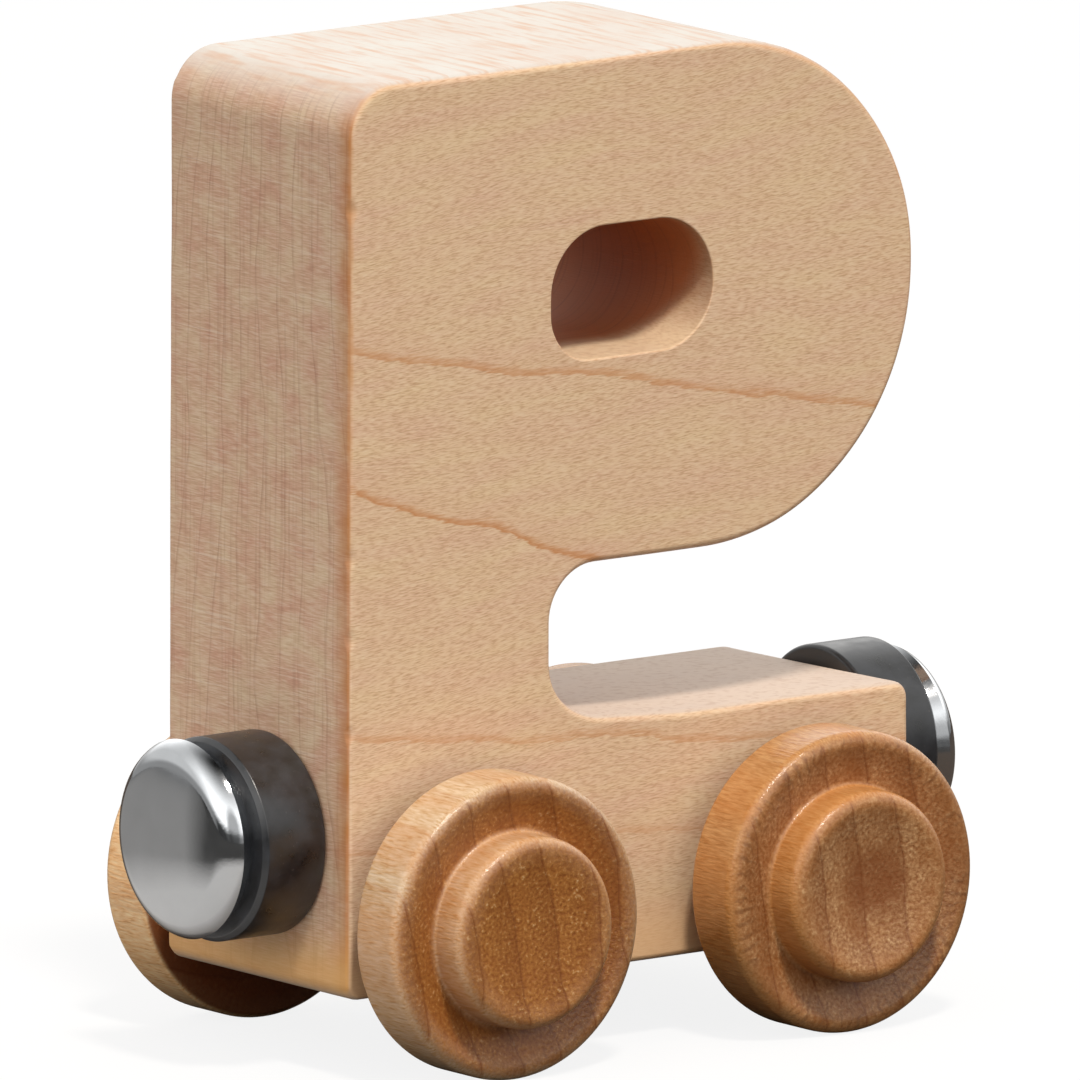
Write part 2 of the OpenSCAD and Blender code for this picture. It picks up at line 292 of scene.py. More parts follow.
def end_grain(tree, place, ring):
    """The colour of the ends, with their rays and blots."""
    rays = add(tree, "VectorMath", {0: place, 1: RAY_SIZE}, operation="DIVIDE")
    ray = add(tree, "TexNoise", {"Vector": rays, "Scale": 1.0, "Detail": 2.0})
    pale_ray = add(tree, "MapRange", {0: ray, 1: 0.5, 2: 0.72, 3: 0.0, 4: 0.55})
    dark_ray = add(tree, "MapRange", {0: ray, 1: 0.5, 2: 0.28, 3: 0.0, 4: 0.45})
    scores = add(tree, "VectorMath", {0: place, 1: SCORE_SIZE}, operation="DIVIDE")
    score = add(tree, "TexNoise", {"Vector": scores, "Scale": 1.0, "Detail": 0.0})
    score = add(tree, "MapRange", {0: score, 1: 0.68, 2: 0.78, 3: 0.0, 4: 0.6})
    pale_ray = add(tree, "Math", {0: pale_ray, 1: score}, operation="MAXIMUM")
    blots = add(tree, "VectorMath", {0: place, 1: BLOT_SIZE}, operation="DIVIDE")
    blot = add(tree, "TexNoise", {"Vector": blots, "Scale": 1.0, "Detail": 4.0})
    blot = add(tree, "MapRange", {0: blot, 1: 0.3, 2: 0.7, 3: 0.0, 4: 1.0})
    end = add(tree, "Mix", {0: blot, 6: linear("#d3a48a"), 7: linear("#dcc09e")}, out=2,
              data_type="RGBA")
    for amount, colour in ((pale_ray, "#ead4bd"), (dark_ray, "#b08264"), (ring, "#a57058")):
        end = add(tree, "Mix", {0: amount, 6: end, 7: linear(colour)}, out=2,
                  data_type="RGBA")
    return end, ray, blot


print("rays", RAY_SIZE[2], "mm thick")

# %% [markdown]
# The planer has singed the near edge of the end in patches. Towards the foot the block is painted
# warmer and yellower: painted bounce light from the oiled wheels.

# %% Singed edge and painted bounce light at the foot
SINGE_REACH = 1.8
FOOT_REACH = 5.5


def singed_edge_and_foot_bounce(tree, at, end, face, broken):
    """The end and the letter face with the singe and the painted bounce light at the foot."""
    singe = add(tree, "MapRange", {0: at["Y"], 1: -half_t / MM + SINGE_REACH,
                                   2: -half_t / MM + 0.2, 3: 0.0, 4: 1.0})
    patchy = add(tree, "MapRange", {0: broken, 1: 0.2, 2: 0.7, 3: 0.4, 4: 0.9})
    singe = add(tree, "Math", {0: singe, 1: patchy}, operation="MULTIPLY")
    end = add(tree, "Mix", {0: singe, 6: end, 7: linear("#c27a38")}, out=2, data_type="RGBA")
    # painted bounce light: warmer and yellower towards the foot, as if lit by the oiled wheels
    foot = add(tree, "MapRange", {0: at["Z"], 1: under / MM + FOOT_REACH, 2: under / MM + 1.0,
                                  3: 0.0, 4: 0.7}, interpolation_type="SMOOTHSTEP")
    end = add(tree, "Mix", {0: foot, 6: end, 7: linear("#e9af60")}, out=2, data_type="RGBA")
    face = add(tree, "Mix", {0: foot, 6: face, 7: linear("#ffd09a")}, out=2, data_type="RGBA")
    return end, face


print("singe reaches", SINGE_REACH, "mm in")

# %% [markdown]
# The top and the deck are quarter-sawn. The planed top shows pink ray flecks 5 mm long and 0.6 mm
# wide across the car. It is paler and greyer than the deck, partly as planed wood and partly as a
# painted sheen of the bright room on it. The deck was sawn and shows its fibres instead.

# %% Top and deck
DECK_TO_TOP = (25.0, 45.0)
RIBBON_SIZE = (0.6, 5.0, 3.0)


def quarter_sawn(tree, place, at, dark, tint):
    """The colour of the top and the deck, and which of the two a point is on."""
    on_top = add(tree, "MapRange", {0: at["Z"], 1: DECK_TO_TOP[0], 2: DECK_TO_TOP[1],
                                    3: 0.0, 4: 1.0})
    # the top's paler, greyer colour is partly a painted sheen
    quarter = add(tree, "Mix", {0: on_top, 6: linear("#d9c4b1"), 7: linear("#d5d1ca")}, out=2,
                  data_type="RGBA")
    mottle = add(tree, "Math", {0: tint, 1: 0.5}, operation="MULTIPLY")
    ribbons = add(tree, "VectorMath", {0: place, 1: RIBBON_SIZE}, operation="DIVIDE")
    ribbon = add(tree, "TexNoise", {"Vector": ribbons, "Scale": 1.0, "Detail": 3.0})
    ribbon = add(tree, "MapRange", {0: ribbon, 1: 0.48, 2: 0.72, 3: 0.0, 4: on_top})
    sawn_fibre = add(tree, "MapRange", {0: on_top, 1: 0.0, 2: 1.0, 3: 0.7, 4: 0.15})
    sawn_fibre = add(tree, "Math", {0: dark, 1: sawn_fibre}, operation="MULTIPLY")
    for amount, colour in ((mottle, "#d0bbad"), (ribbon, "#d0ae95"), (sawn_fibre, "#b38e72")):
        quarter = add(tree, "Mix", {0: amount, 6: quarter, 7: linear(colour)}, out=2,
                      data_type="RGBA")
    return quarter, on_top


print("ray flecks of", RIBBON_SIZE[1], "by", RIBBON_SIZE[0], "mm on the top")

# %% [markdown]
# The wall of the hole is dark from the roof down to a slanting border: partly saw scorch and
# partly painted shade, with the border drawn where the softbox's light reaches in. Below that the
# wall is unscorched, and painted shade darkens it upwards from the sill, which is palest.

# %% Scorch and painted shade in the hole
HOLE_MARGIN = 0.5
SHADE_BORDER_SLANT = 0.075


def hole_scorch_and_shade(tree, at, face, ring):
    """The colour of the wall of the hole, with its scorch and painted shade, and whether a
    point is in the hole.
    """
    hole_h = (hole_top - hole_low) / MM
    inside_x = add(tree, "Math", {0: at["X"], 1: (stem + hole_rear) / 2 / MM,
                                  2: (hole_rear - stem) / 2 / MM + HOLE_MARGIN},
                   operation="COMPARE")
    inside_z = add(tree, "Math", {0: at["Z"], 1: (hole_low + hole_top) / 2 / MM,
                                  2: hole_h / 2 + HOLE_MARGIN}, operation="COMPARE")
    inside = add(tree, "Math", {0: inside_x, 1: inside_z}, operation="MULTIPLY")
    # painted shade with saw scorch: dark from the roof down to a slanting border along the light's
    # edge
    drop = add(tree, "Math", {0: hole_top / MM, 1: at["Z"]}, operation="SUBTRACT")
    curve = add(tree, "Math", {0: drop, 1: drop}, operation="MULTIPLY")
    lip = add(tree, "Math", {0: curve, 1: -SHADE_BORDER_SLANT, 2: at["Y"]}, operation="MULTIPLY_ADD")
    scorch_and_shade = add(tree, "MapRange", {0: lip, 1: -half_t / MM - 1.2, 2: -half_t / MM + 1.8,
                                    3: 0.0, 4: 0.95}, interpolation_type="SMOOTHSTEP")
    burnt_and_shaded = add(tree, "Mix", {0: ring, 6: linear("#ba6c3a"), 7: linear("#8a4a2a")}, out=2,
                data_type="RGBA")
    # painted shade: the wall darker going up from the pale sill
    shade_rise = add(tree, "MapRange", {0: drop, 1: hole_h - 0.5, 2: hole_h - 3.0, 3: 0.0, 4: 1.0})
    wall = add(tree, "Mix", {0: shade_rise, 6: linear("#e4cca6"), 7: linear("#7d4d26")}, out=2,
               data_type="RGBA")
    wall = add(tree, "Mix", {0: 0.45, 6: face, 7: wall}, out=2, data_type="RGBA")
    wall = add(tree, "Mix", {0: scorch_and_shade, 6: wall, 7: burnt_and_shaded}, out=2, data_type="RGBA")
    return wall, inside


print("hole of", round(HOLE_W / MM, 2), "by", round(HOLE_H / MM, 2), "mm")

# %% [markdown]
# A point's facing says which cut of the wood it shows. The three cuts are blended by it, which
# also carries the pattern round the curves of the bowl. Sanding has burnished the rounded edges
# of the bowl and, less, of the hole. Bare sanded maple is dull, with fibres that stand up a
# little.

# %% Bare maple of the block
def bare_maple():
    material, tree, place, facing = new_finish("maple_planed_and_sanded")
    at = add(tree, "SeparateXYZ", {0: place}, out=None).outputs
    square = add(tree, "VectorMath", {0: facing, 1: facing}, operation="MULTIPLY")
    share = add(tree, "SeparateXYZ", {0: square}, out=None).outputs
    face, fibre, dark, tint = flat_sawn(tree, place, at)
    face = growth_lines(tree, place, at, face)
    ring, broken = end_rings(tree, place, at)
    end, ray, blot = end_grain(tree, place, ring)
    end, face = singed_edge_and_foot_bounce(tree, at, end, face, broken)
    quarter, on_top = quarter_sawn(tree, place, at, dark, tint)
    wall, inside = hole_scorch_and_shade(tree, at, face, ring)

    off_face = add(tree, "Math", {0: 1.0, 1: share["Y"]}, operation="SUBTRACT")
    end_share = add(tree, "Math", {0: share["X"], 1: off_face}, operation="DIVIDE")
    end_share = add(tree, "MapRange", {0: end_share, 1: 0.1, 2: 0.95, 3: 0.0, 4: 1.0})
    face_share = add(tree, "MapRange", {0: share["Y"], 1: 0.25, 2: 0.75, 3: 0.0, 4: 1.0},
                     interpolation_type="SMOOTHSTEP")
    colour = add(tree, "Mix", {0: end_share, 6: quarter, 7: end}, out=2, data_type="RGBA")
    colour = add(tree, "Mix", {0: inside, 6: colour, 7: wall}, out=2, data_type="RGBA")
    colour = add(tree, "Mix", {0: face_share, 6: colour, 7: face}, out=2, data_type="RGBA")

    burnish = add(tree, "Math", {0: off_face, 1: share["Y"]}, operation="MULTIPLY")
    burnish = add(tree, "MapRange", {0: burnish, 1: 0.02, 2: 0.2, 3: 0.0, 4: 0.6})
    outside = add(tree, "MapRange", {0: inside, 1: 0.0, 2: 1.0, 3: 1.0, 4: 0.4})
    for part in (blot, on_top, outside):
        burnish = add(tree, "Math", {0: burnish, 1: part}, operation="MULTIPLY")
    colour = add(tree, "Mix", {0: burnish, 6: colour, 7: linear("#cf955f")}, out=2,
                 data_type="RGBA")

    relief = add(tree, "Mix", {0: face_share, 2: ray, 3: fibre}, data_type="FLOAT")
    relief = add(tree, "Bump", {"Height": relief, "Strength": 0.3, "Distance": 0.03 * MM})
    surface = add(tree, "BsdfPrincipled", {
        "Base Color": colour, "Roughness": 0.6, "IOR": 1.5, "Normal": relief})
    add(tree, "OutputMaterial", {"Surface": surface}, out=None)
    return material


maple = bare_maple()
print(maple.name, "has", len(maple.node_tree.nodes), "nodes")

# %% [markdown]
# The outline of the letter is straight runs joined by quarter arcs. It could be drawn by hand as
# a curve, but a list of corners with a radius each says what the saw followed. One walk along
# the corners gives evenly spaced points and the direction square to the path at each.

# %% Outline of the letter
DECK_H = 15.6 * MM
BOWL_H = 32 * MM
BOWL_OVERHANG = 0.3 * MM
FRONT_LEAN = 0.3 * MM
TOP_FRONT_R = 3.3 * MM
FOOT_R = 1.0 * MM
DECK_CORNER_R = 1.1 * MM
NOTCH_LOW_R = 4.1 * MM
NOTCH_HIGH_R = 3.5 * MM
BOWL_LOW_R = 16.4 * MM
BOWL_TOP_R = 15.2 * MM
HOLE_TOP_R = 4.2 * MM
HOLE_LOW_FRONT_R = 3.0 * MM
HOLE_LOW_REAR_R = 4.1 * MM
WALK_STEP = 0.4 * MM
LEAST_ARC_STEPS = 6

deck = under + DECK_H
bowl_low = top - BOWL_H
bowl_rear = rear + BOWL_OVERHANG
letter_corners = [
    (front + FRONT_LEAN, top, TOP_FRONT_R), (front, under, FOOT_R), (rear, under, FOOT_R),
    (rear, deck, DECK_CORNER_R), (stem, deck, NOTCH_LOW_R), (stem, bowl_low, NOTCH_HIGH_R),
    (bowl_rear, bowl_low, BOWL_LOW_R), (bowl_rear, top, BOWL_TOP_R)]
hole_corners = [
    (stem, hole_top, HOLE_TOP_R), (stem, hole_low, HOLE_LOW_FRONT_R),
    (hole_rear, hole_low, HOLE_LOW_REAR_R), (hole_rear, hole_top, HOLE_TOP_R)]


def walk(corners):
    """Points along a closed path of rounded corners, each with the direction to its right."""
    spots = [Vector(corner[:2]) for corner in corners]
    headings = [(spots[(i + 1) % len(spots)] - spot).normalized() for i, spot in enumerate(spots)]
    steps = []
    for i, (spot, corner) in enumerate(zip(spots, corners)):
        into, out = headings[i - 1], headings[i]
        radius = corner[2]
        turn = 1 if into.cross(out) > 0 else -1
        start = spot - radius * into
        centre = start + radius * out
        if steps:
            run = start - steps[-1][0]
            count = max(1, round(run.length / WALK_STEP))
            steps += [(steps[-1][0] + run * k / count, steps[-1][1]) for k in range(1, count)]
        count = max(LEAST_ARC_STEPS, round(radius * math.pi / 2 / WALK_STEP))
        for k in range(count + 1):
            angle = math.pi / 2 * k / count
            heading = math.cos(angle) * into + math.sin(angle) * out
            right = Vector((heading.y, -heading.x))
            steps.append((centre + turn * radius * right, right))
    run = steps[0][0] - steps[-1][0]
    count = max(1, round(run.length / WALK_STEP))
    steps += [(steps[-1][0] + run * k / count, steps[-1][1]) for k in range(1, count)]
    return steps


letter_walk = walk(letter_corners)
hole_walk = walk(hole_corners)
print(len(letter_walk), "points round the letter and", len(hole_walk), "round the hole")

# %% [markdown]
# The block is one board: flat faces, square walls and edges that sanding has rounded. An
# extrusion with a bevel modifier would round every edge alike. Here the rounding follows a slow
# noise, as hand sanding does, and the near front edge has a few small knocks. The saw that cut
# the deck leaned a little, so the deck falls towards the far side, and it swells where the saw
# turned up into the stem.

# %% Sanded edges and sawn deck
EDGE_EASE = 0.5 * MM
FRONT_EDGE_EASE = 0.35 * MM
HOLE_EASE = 0.15 * MM
BORE_EASE = 0.25 * MM
SANDING_WAVE = 7 * MM
SANDING_SWAY = 0.3
DECK_FALL = 0.5 * MM
DECK_SWELL = 0.6 * MM
DECK_SWELL_RUN = 11 * MM
KNOCK_HEIGHTS = (55.1 * MM, 33.1 * MM, 28.0 * MM, 22.0 * MM)
KNOCK_REACH = 0.35 * MM
KNOCK_DEPTH = 0.45 * MM
FACES_FRONT = -0.9


def sanded(ease, spot, right, near):
    """The radius of an edge at one point: sanding sways it, and knocks blunt the front edge."""
    y = -half_t if near else half_t
    if right.x < FACES_FRONT:
        ease = min(ease, FRONT_EDGE_EASE)
    radius = ease * (1 + SANDING_SWAY * noise.noise(Vector((spot.x, y, spot.y)) / SANDING_WAVE))
    if near and right.x < FACES_FRONT:
        radius += sum(KNOCK_DEPTH * math.exp(-((spot.y - height) / KNOCK_REACH) ** 2)
                      for height in KNOCK_HEIGHTS)
    return radius


def sawn(spot, right, y):
    """The height of a point on a wall: the deck falls towards the far side and swells at the
    near end of the stem."""
    on_deck = max(0, right.y) ** 2 if spot.y < bowl_low else 0
    far = (y + half_t) / (2 * half_t)
    swell = DECK_SWELL * max(0, 1 - (spot.x - stem) / DECK_SWELL_RUN)
    return spot.y + on_deck * (swell * (1 - far) - DECK_FALL * far)


print("edges eased by", round(EDGE_EASE / MM, 2), "mm, with", len(KNOCK_HEIGHTS), "knocks")

# %% [markdown]
# Each wall is a stack of rows along its outline, rounded over at both faces. The bores for the
# axles are walls too, a running clearance wider than the dowels.

# %% Walls
EDGE_STEPS = 6
BORE_CLEAR = 0.08 * MM
BORE_STEPS = 48


def eased_wall(bm, steps, side, ease):
    """A wall along a path with both edges rounded; side is 1 where the wood lies to the left of
    the path and -1 where it lies to the right. Returns the rims at the near and far face."""
    rows = []
    for row in range(2 * EDGE_STEPS + 2):
        near = row <= EDGE_STEPS
        k = EDGE_STEPS - row if near else row - EDGE_STEPS - 1
        angle = math.pi / 2 * k / EDGE_STEPS
        ring = []
        for spot, right in steps:
            radius = sanded(ease, spot, right, near)
            inset = side * radius * (1 - math.cos(angle))
            y = (-1 if near else 1) * (half_t - radius * (1 - math.sin(angle)))
            height = sawn(spot, right, y) if side > 0 else spot.y
            ring.append(bm.verts.new((spot.x - inset * right.x, y, height - inset * right.y)))
        rows.append(ring)
    for a, b in zip(rows, rows[1:]):
        for i in range(len(steps)):
            bm.faces.new((a[i - 1], a[i], b[i], b[i - 1]))
    return rows[0], rows[-1]


def rim_edges(bm, rim):
    return [bm.edges.get((rim[i - 1], rim[i])) for i in range(len(rim))]


def bore_walk(node):
    """Steps round an axle's bore, with the running clearance."""
    low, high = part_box(node)
    centre = (low + high) / 2
    radius = (high.z - low.z) / 2 + BORE_CLEAR
    angles = [2 * math.pi * k / BORE_STEPS for k in range(BORE_STEPS)]
    return [(Vector((centre.x + radius * math.cos(a), centre.z + radius * math.sin(a))),
             Vector((math.cos(a), math.sin(a)))) for a in angles]


print("bores", round(BORE_CLEAR / MM, 2), "mm wider all round than the axles")

# %% [markdown]
# Every mesh made here is finished in one way: smooth shading, with the real edges kept crisp and
# the flat faces shaded flat.

# %% Finished meshes
CRISP_EDGE = math.radians(35)


def finish_piece(name, bm, material):
    """Turns mesh data into a shaded object: smooth, but with its real edges kept crisp."""
    bmesh.ops.recalc_face_normals(bm, faces=bm.faces)
    for face in bm.faces:
        face.smooth = True
    for edge in bm.edges:
        edge.smooth = len(edge.link_faces) == 2 and edge.calc_face_angle() < CRISP_EDGE
    mesh = bpy.data.meshes.new(name)
    bm.to_mesh(mesh)
    bm.free()
    mesh.materials.append(material)
    piece = bpy.data.objects.new(name, mesh)
    bpy.context.scene.collection.objects.link(piece)
    weighted = piece.modifiers.new("flat faces shade flat", "WEIGHTED_NORMAL")
    weighted.keep_sharp = True
    return piece


print("edges over", round(math.degrees(CRISP_EDGE)), "degrees stay crisp")

# %% [markdown]
# The walls of the letter, the hole and the bores stand first. The flat faces are then filled
# between their rims. The pilot holes for the nails lie hidden inside and are left out.

# %% Letter block
bm = bmesh.new()
rims = [
    eased_wall(bm, letter_walk, 1, EDGE_EASE),
    eased_wall(bm, hole_walk, -1, HOLE_EASE),
    eased_wall(bm, bore_walk("front_axle"), -1, BORE_EASE),
    eased_wall(bm, bore_walk("rear_axle"), -1, BORE_EASE)]
for face in (0, 1):
    edges = [edge for rim in rims for edge in rim_edges(bm, rim[face])]
    bmesh.ops.triangle_fill(bm, use_beauty=True, edges=edges)
block = finish_piece("letter_block", bm, maple)
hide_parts("letter_body")
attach(block, "car")
print("letter_block has", len(block.data.polygons), "faces")

# %% [markdown]
# The wheels are turned from maple dowel and dipped in a clear oil finish. Their grain runs along
# the axle, so growth rings about 3 mm apart cross the faces as slightly curved lines. Each wheel
# came from another dowel, so the turn and shift of its rings are settings.

# %% Growth rings of a dowel
DOWEL_RINGS = 3.2
DOWEL_BEND_SIZE = (30.0, 12.0, 40.0)
DOWEL_BEND = 3.5


def dowel_rings(tree, turned, ring_shift):
    """How dark the growth rings make a point: a slow rise to a sharp edge."""
    bend_cells = add(tree, "VectorMath", {0: turned, 1: DOWEL_BEND_SIZE}, operation="DIVIDE")
    bend = add(tree, "TexNoise", {"Vector": bend_cells, "Scale": 1.0, "Detail": 4.0})
    across = add(tree, "SeparateXYZ", {0: turned}, out=0)
    ring = add(tree, "Math", {0: bend, 1: DOWEL_BEND, 2: across}, operation="MULTIPLY_ADD")
    ring = add(tree, "Math", {0: ring, 1: ring_shift}, operation="ADD")
    ring = add(tree, "Math", {0: ring, 1: DOWEL_RINGS}, operation="DIVIDE")
    ring = add(tree, "Math", {0: ring}, operation="FRACT")
    late = add(tree, "MapRange", {0: ring, 1: 0.3, 2: 1.0, 3: 0.0, 4: 0.3})
    edge = add(tree, "MapRange", {0: ring, 1: 0.0, 2: 0.08, 3: 0.7, 4: 0.0})
    return add(tree, "Math", {0: late, 1: edge}, operation="MAXIMUM")


print("dowel rings", DOWEL_RINGS, "mm apart")

# %% [markdown]
# The tread and the side of the hub show pale fibres along the axle, 0.16 mm thick and 1 mm long,
# with a few dark pores. Bands of redder wood 4 mm wide cross the dowel, and the side of the hub
# is redder all round.

# %% Tread
TREAD_FIBRE_SIZE = (0.16, 0.16, 1.0)
RED_BAND_SIZE = (4.0, 9.0, 60.0)
HUB_FOOT = (6.3, 6.9)


def wheel_tread(tree, place, turned, radius, ring, hexes):
    """The colour of the tread, and its fibres."""
    fibres = add(tree, "VectorMath", {0: place, 1: TREAD_FIBRE_SIZE}, operation="DIVIDE")
    fibre = add(tree, "TexNoise", {"Vector": fibres, "Scale": 1.0, "Detail": 2.0})
    tone = add(tree, "MapRange", {0: fibre, 1: 0.32, 2: 0.68, 3: 1.0, 4: 0.0})
    tread = add(tree, "Mix", {0: tone, 6: linear(hexes[0]), 7: linear(hexes[1])}, out=2,
                data_type="RGBA")
    pore = add(tree, "MapRange", {0: fibre, 1: 0.61, 2: 0.72, 3: 0.0, 4: 0.35})
    tread_ring = add(tree, "Math", {0: ring, 1: 0.6}, operation="MULTIPLY")
    bands = add(tree, "VectorMath", {0: turned, 1: RED_BAND_SIZE}, operation="DIVIDE")
    band = add(tree, "TexNoise", {"Vector": bands, "Scale": 1.0, "Detail": 1.0})
    band = add(tree, "MapRange", {0: band, 1: 0.5, 2: 0.65, 3: 0.0, 4: 0.4})
    hub_side = add(tree, "MapRange", {0: radius, 1: HUB_FOOT[0], 2: HUB_FOOT[1], 3: 0.4, 4: 0.0})
    redder = add(tree, "Math", {0: band, 1: hub_side}, operation="MAXIMUM")
    for amount, colour in ((pore, "#a06a34"), (tread_ring, "#b5702f"), (redder, "#cf8238")):
        tread = add(tree, "Mix", {0: amount, 6: tread, 7: linear(colour)}, out=2,
                    data_type="RGBA")
    return tread, fibre


print("tread fibres", TREAD_FIBRE_SIZE[0], "mm thick")

# %% [markdown]
# The faces are end grain. Cut fibre ends make a grain of a quarter of a millimetre, with pale open
# ends in clusters, over softer clouds. The rims of the hub and of the face are worn paler, and
# the hollow between them has kept more oil.

# %% Face of a wheel
SPECK_SIZE = (0.24, 0.24, 0.5)
CLOUD_SIZE = (2.2, 2.2, 3.0)
HUB_RIM = (4.2, 5.9)
HUB_EDGE = (6.2, 6.6)
FACE_RIM = (8.0, 9.4)


def wheel_face(tree, place, radius, ring, tread, hexes):
    """The colour of a face, its specks and the clusters of open fibre ends."""
    specks = add(tree, "VectorMath", {0: place, 1: SPECK_SIZE}, operation="DIVIDE")
    speck = add(tree, "TexNoise", {"Vector": specks, "Scale": 1.0, "Detail": 5.0})
    clouds = add(tree, "VectorMath", {0: place, 1: CLOUD_SIZE}, operation="DIVIDE")
    cloud = add(tree, "TexNoise", {"Vector": clouds, "Scale": 1.0, "Detail": 3.0})
    cluster = add(tree, "MapRange", {0: cloud, 1: 0.6, 2: 0.4, 3: 0.2, 4: 0.9})
    cloud = add(tree, "MapRange", {0: cloud, 1: 0.35, 2: 0.7, 3: 0.0, 4: 0.5})
    tone = add(tree, "MapRange", {0: speck, 1: 0.33, 2: 0.67, 3: 0.0, 4: 1.0})
    face = add(tree, "Mix", {0: tone, 6: linear(hexes[0]), 7: linear(hexes[1])}, out=2,
               data_type="RGBA")
    open_end = add(tree, "MapRange", {0: speck, 1: 0.6, 2: 0.72, 3: 0.0, 4: cluster})
    hollow = add(tree, "MapRange", {0: radius, 1: HUB_FOOT[0], 2: HUB_FOOT[1], 3: 0.0, 4: 0.25})
    for amount, colour in ((open_end, "#e3bd8c"), (cloud, "#9c5a20"), (hollow, "#94521a")):
        face = add(tree, "Mix", {0: amount, 6: face, 7: linear(colour)}, out=2,
                   data_type="RGBA")
    hub_rim = add(tree, "MapRange", {0: radius, 1: HUB_RIM[0], 2: HUB_RIM[1], 3: 0.0, 4: 0.4})
    on_hub = add(tree, "MapRange", {0: radius, 1: HUB_EDGE[0], 2: HUB_EDGE[1], 3: 1.0, 4: 0.0})
    hub_rim = add(tree, "Math", {0: hub_rim, 1: on_hub}, operation="MULTIPLY")
    face_rim = add(tree, "MapRange", {0: radius, 1: FACE_RIM[0], 2: FACE_RIM[1], 3: 0.0, 4: 0.4})
    rim = add(tree, "Math", {0: hub_rim, 1: face_rim}, operation="ADD")
    face = add(tree, "Mix", {0: rim, 6: face, 7: tread}, out=2, data_type="RGBA")
    face = add(tree, "Mix", {0: ring, 6: face, 7: linear("#74380c")}, out=2, data_type="RGBA")
    return face, speck, cluster


print("face grain of", SPECK_SIZE[0], "mm")

# %% [markdown]
# The turning tool chattered and left small ticks in the outer face. Some hubs have a dark stain in
# the middle. The back of the wheel, next to the block, is painted darker: painted shade between
# the wheel and the block.

# %% Ticks, stain and painted shade on the back of a wheel
CHATTER_TICKS = 66
CHATTER_SWAY = 9.0
TICK_START = (7.2, 8.4)
STAIN_MIDDLE = (0.6, 0.2, 6.0)
STAIN_REACH = (1.2, 3.2)
BACK_SHADE_DEPTH = (0.6, 0.1)


def marked_face(tree, place, at, radius, face, cluster, stain, chatter):
    """A face with the marks of the lathe, the stain and the painted shade on the back."""
    tick = add(tree, "Math", {0: at["Y"], 1: at["X"]}, operation="ARCTAN2")
    sway = add(tree, "Math", {0: cluster, 1: CHATTER_SWAY}, operation="MULTIPLY")
    tick = add(tree, "Math", {0: tick, 1: CHATTER_TICKS, 2: sway}, operation="MULTIPLY_ADD")
    tick = add(tree, "Math", {0: tick}, operation="SINE")
    tick = add(tree, "MapRange", {0: tick, 1: 0.2, 2: 1.0, 3: 0.0, 4: chatter})
    on_face = add(tree, "MapRange", {0: radius, 1: TICK_START[0], 2: TICK_START[1],
                                     3: 0.0, 4: 1.0})
    for part in (on_face, cluster):
        tick = add(tree, "Math", {0: tick, 1: part}, operation="MULTIPLY")
    middle = add(tree, "VectorMath", {0: place, 1: STAIN_MIDDLE}, out=1, operation="DISTANCE")
    middle = add(tree, "MapRange", {0: middle, 1: STAIN_REACH[0], 2: STAIN_REACH[1],
                                    3: stain, 4: 0.0}, interpolation_type="SMOOTHSTEP")
    # painted shade: the back face, next to the block, darker
    painted_back_shade = add(tree, "MapRange", {0: at["Z"], 1: BACK_SHADE_DEPTH[0], 2: BACK_SHADE_DEPTH[1],
                                    3: 0.0, 4: 0.75})
    for amount, colour in ((tick, "#5e300e"), (middle, "#84461a"), (painted_back_shade, "#6a2c0c")):
        face = add(tree, "Mix", {0: amount, 6: face, 7: linear(colour)}, out=2,
                   data_type="RGBA")
    return face


print(CHATTER_TICKS, "ticks round a face")

# %% [markdown]
# The oil gives a soft gloss over the wood, so the finish has a thin coat that follows the same
# relief. Tread and face are blended by facing, and each wheel has its own tones.

# %% Oiled maple of the wheels
def oiled_maple(name, tread_hexes, face_hexes, ring_turn, ring_shift, stain, chatter):
    material, tree, place, facing = new_finish(name)
    at = add(tree, "SeparateXYZ", {0: place}, out=None).outputs
    flat = add(tree, "VectorMath", {0: place, 1: (1.0, 1.0, 0.0)}, operation="MULTIPLY")
    radius = add(tree, "VectorMath", {0: flat}, out=1, operation="LENGTH")
    square = add(tree, "VectorMath", {0: facing, 1: facing}, operation="MULTIPLY")
    along = add(tree, "SeparateXYZ", {0: square}, out=2)
    end_share = add(tree, "MapRange", {0: along, 1: 0.2, 2: 0.98, 3: 0.0, 4: 1.0},
                    interpolation_type="SMOOTHSTEP")
    turned = add(tree, "VectorRotate", {"Vector": place, "Angle": ring_turn},
                 rotation_type="Z_AXIS")
    ring = dowel_rings(tree, turned, ring_shift)
    tread, fibre = wheel_tread(tree, place, turned, radius, ring, tread_hexes)
    face, speck, cluster = wheel_face(tree, place, radius, ring, tread, face_hexes)
    face = marked_face(tree, place, at, radius, face, cluster, stain, chatter)

    colour = add(tree, "Mix", {0: end_share, 6: tread, 7: face}, out=2, data_type="RGBA")
    height = add(tree, "Mix", {0: end_share, 2: fibre, 3: speck}, data_type="FLOAT")
    relief = add(tree, "Bump", {"Height": height, "Strength": 0.8, "Distance": 0.06 * MM})
    surface = add(tree, "BsdfPrincipled", {
        "Base Color": colour, "Roughness": 0.45, "IOR": 1.5, "Normal": relief,
        "Coat Weight": 0.4, "Coat Roughness": 0.12, "Coat IOR": 1.5, "Coat Normal": relief})
    add(tree, "OutputMaterial", {"Surface": surface}, out=None)
    return material


